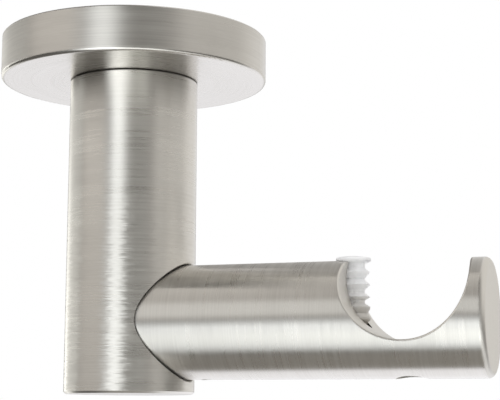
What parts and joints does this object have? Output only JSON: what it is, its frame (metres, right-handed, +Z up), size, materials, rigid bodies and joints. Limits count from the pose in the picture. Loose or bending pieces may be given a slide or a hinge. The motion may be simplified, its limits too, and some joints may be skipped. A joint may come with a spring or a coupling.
{
  "type": "ceiling curtain pole bracket",
  "caption": "Ceiling bracket for a curtain pole: a round cover disc, a round post and a side arm with an open cup and a ribbed grip plug, in brushed nickel finish.",
  "frame": {"origin": "on the ceiling, at the centre of the fixing plate's screw circle, which is the axis of the post", "axes": "+Z points up into the ceiling, +X points along the arm towards its cup, and +Y runs along the pole"},
  "size_m": [0.1235, 0.067, 0.0895],
  "materials": {
    "nickel_rose": "satin brushed nickel, turned lines",
    "nickel_post": "satin brushed nickel, lines round the post",
    "nickel_arm": "satin brushed nickel, lines round the arm",
    "zinc_plate": "bright zinc plate",
    "zinc_thread": "bright zinc plate",
    "black_screw": "blackened steel",
    "clear_plastic": "milky translucent nylon"
  },
  "bodies": {
    "root": {"ceiling_rose": "nickel_rose", "fixing_plate": "zinc_plate", "post_stud": "zinc_thread", "stud_nut": "zinc_thread", "post": "nickel_post", "arm": "nickel_arm", "arm_spigot": "zinc_thread", "arm_lock_screw": "black_screw", "pole_lock_screw": "black_screw", "grip_plug": "clear_plastic"}
  },
  "joints": []
}
